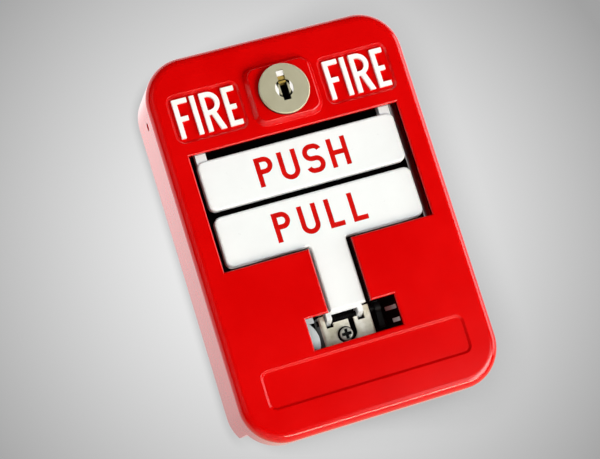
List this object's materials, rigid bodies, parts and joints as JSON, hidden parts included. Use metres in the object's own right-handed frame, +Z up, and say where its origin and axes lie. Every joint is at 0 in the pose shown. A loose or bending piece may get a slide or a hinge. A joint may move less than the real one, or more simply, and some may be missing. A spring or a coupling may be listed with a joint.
{
  "type": "manual fire alarm pull station",
  "caption": "Wall-mounted dual-action fire alarm pull station: red die-cast hinged cover with key lock, white push flap over a white T-shaped pull handle, and a switch inside.",
  "frame": {"origin": "on the mounting face, the back of the back plate, midway between the two box screws", "axes": "+Z up, +X to the right as seen from the front, front faces -Y, the wall is on the +Y side"},
  "size_m": [0.0842, 0.0312, 0.1236],
  "materials": {
    "red_enamel": "glossy red enamel on die-cast metal",
    "white_paint": "white paint on raised letters",
    "white_plastic": "white moulded plastic",
    "red_fill": "red paint filled into letters",
    "black_paint": "satin black paint on steel",
    "black_plastic": "black moulded plastic",
    "plated_steel": "zinc-nickel plated sheet steel",
    "steel": "plain steel",
    "spring_steel": "bright spring steel",
    "lock_metal": "satin nickel plated lock face",
    "brass": "brass",
    "card": "black fibre card",
    "tin": "tinned terminal metal",
    "nylon": "black nylon",
    "earth_green": "green zinc plate"
  },
  "bodies": {
    "base": {"back_plate": "black_paint", "hinge_pin": "steel", "hinge_clips": "steel", "insulating_card": "card", "terminal_block": "black_plastic", "terminal_clamps": "brass", "terminal_screws": "steel", "block_screws": "steel", "earth_screw": "earth_green", "earth_washer": "brass", "latch_keeper": "plated_steel", "keeper_rivets": "steel"},
    "cover": {"front_cover": "red_enamel", "legend_left": "white_paint", "legend_right": "white_paint", "lock_housing": "lock_metal", "lock_levers": "brass", "lock_guide": "tin", "lock_washer": "steel", "lock_nut": "steel", "handle_bracket": "plated_steel", "tongue_screw": "steel", "tongue_washer": "black_paint", "detent_block": "nylon", "bracket_screws": "steel", "detent_leaf": "spring_steel", "leaf_rivet": "steel", "switch_body": "black_plastic", "switch_tabs": "tin", "switch_screws": "steel", "flap_pins": "steel", "flap_springs": "spring_steel", "handle_spring": "black_paint"},
    "lock": {"lock_plug": "lock_metal", "lock_wafers": "brass", "lock_cam": "plated_steel", "cam_screw": "steel"},
    "push_flap": {"push_flap": "white_plastic", "push_legend": "red_fill"},
    "pull_handle": {"pull_handle": "white_plastic", "pull_legend": "red_fill", "handle_pin": "black_paint", "cam_lever": "black_paint"},
    "plunger": {"switch_plunger": "nylon"}
  },
  "joints": [
    {"name": "cover_hinge", "type": "hinge", "parent": "base", "child": "cover", "pos_m": [0, -0.008, -0.055], "axis": [1, 0, 0], "range_deg": [0, 90]},
    {"name": "lock_turn", "type": "hinge", "parent": "cover", "child": "lock", "pos_m": [0, -0.03, 0.0437], "axis": [0, 1, 0], "range_deg": [0, 90]},
    {"name": "push_tilt", "type": "hinge", "parent": "cover", "child": "push_flap", "pos_m": [0, -0.0224, 0.0337], "axis": [1, 0, 0], "range_deg": [0, 15], "stiffness_Nm_per_rad": 0.08, "springref_deg": -5.73},
    {"name": "handle_pull", "type": "hinge", "parent": "cover", "child": "pull_handle", "pos_m": [0, -0.0196, -0.0286], "axis": [1, 0, 0], "range_deg": [0, 30]},
    {"name": "plunger_press", "type": "slide", "parent": "cover", "child": "plunger", "axis": [0, 1, 0], "range_m": [0, 0.0033]}
  ],
  "couplings": [
    {"joint": "plunger_press", "follows": "handle_pull", "m_per_rad": 0.0061}
  ]
}
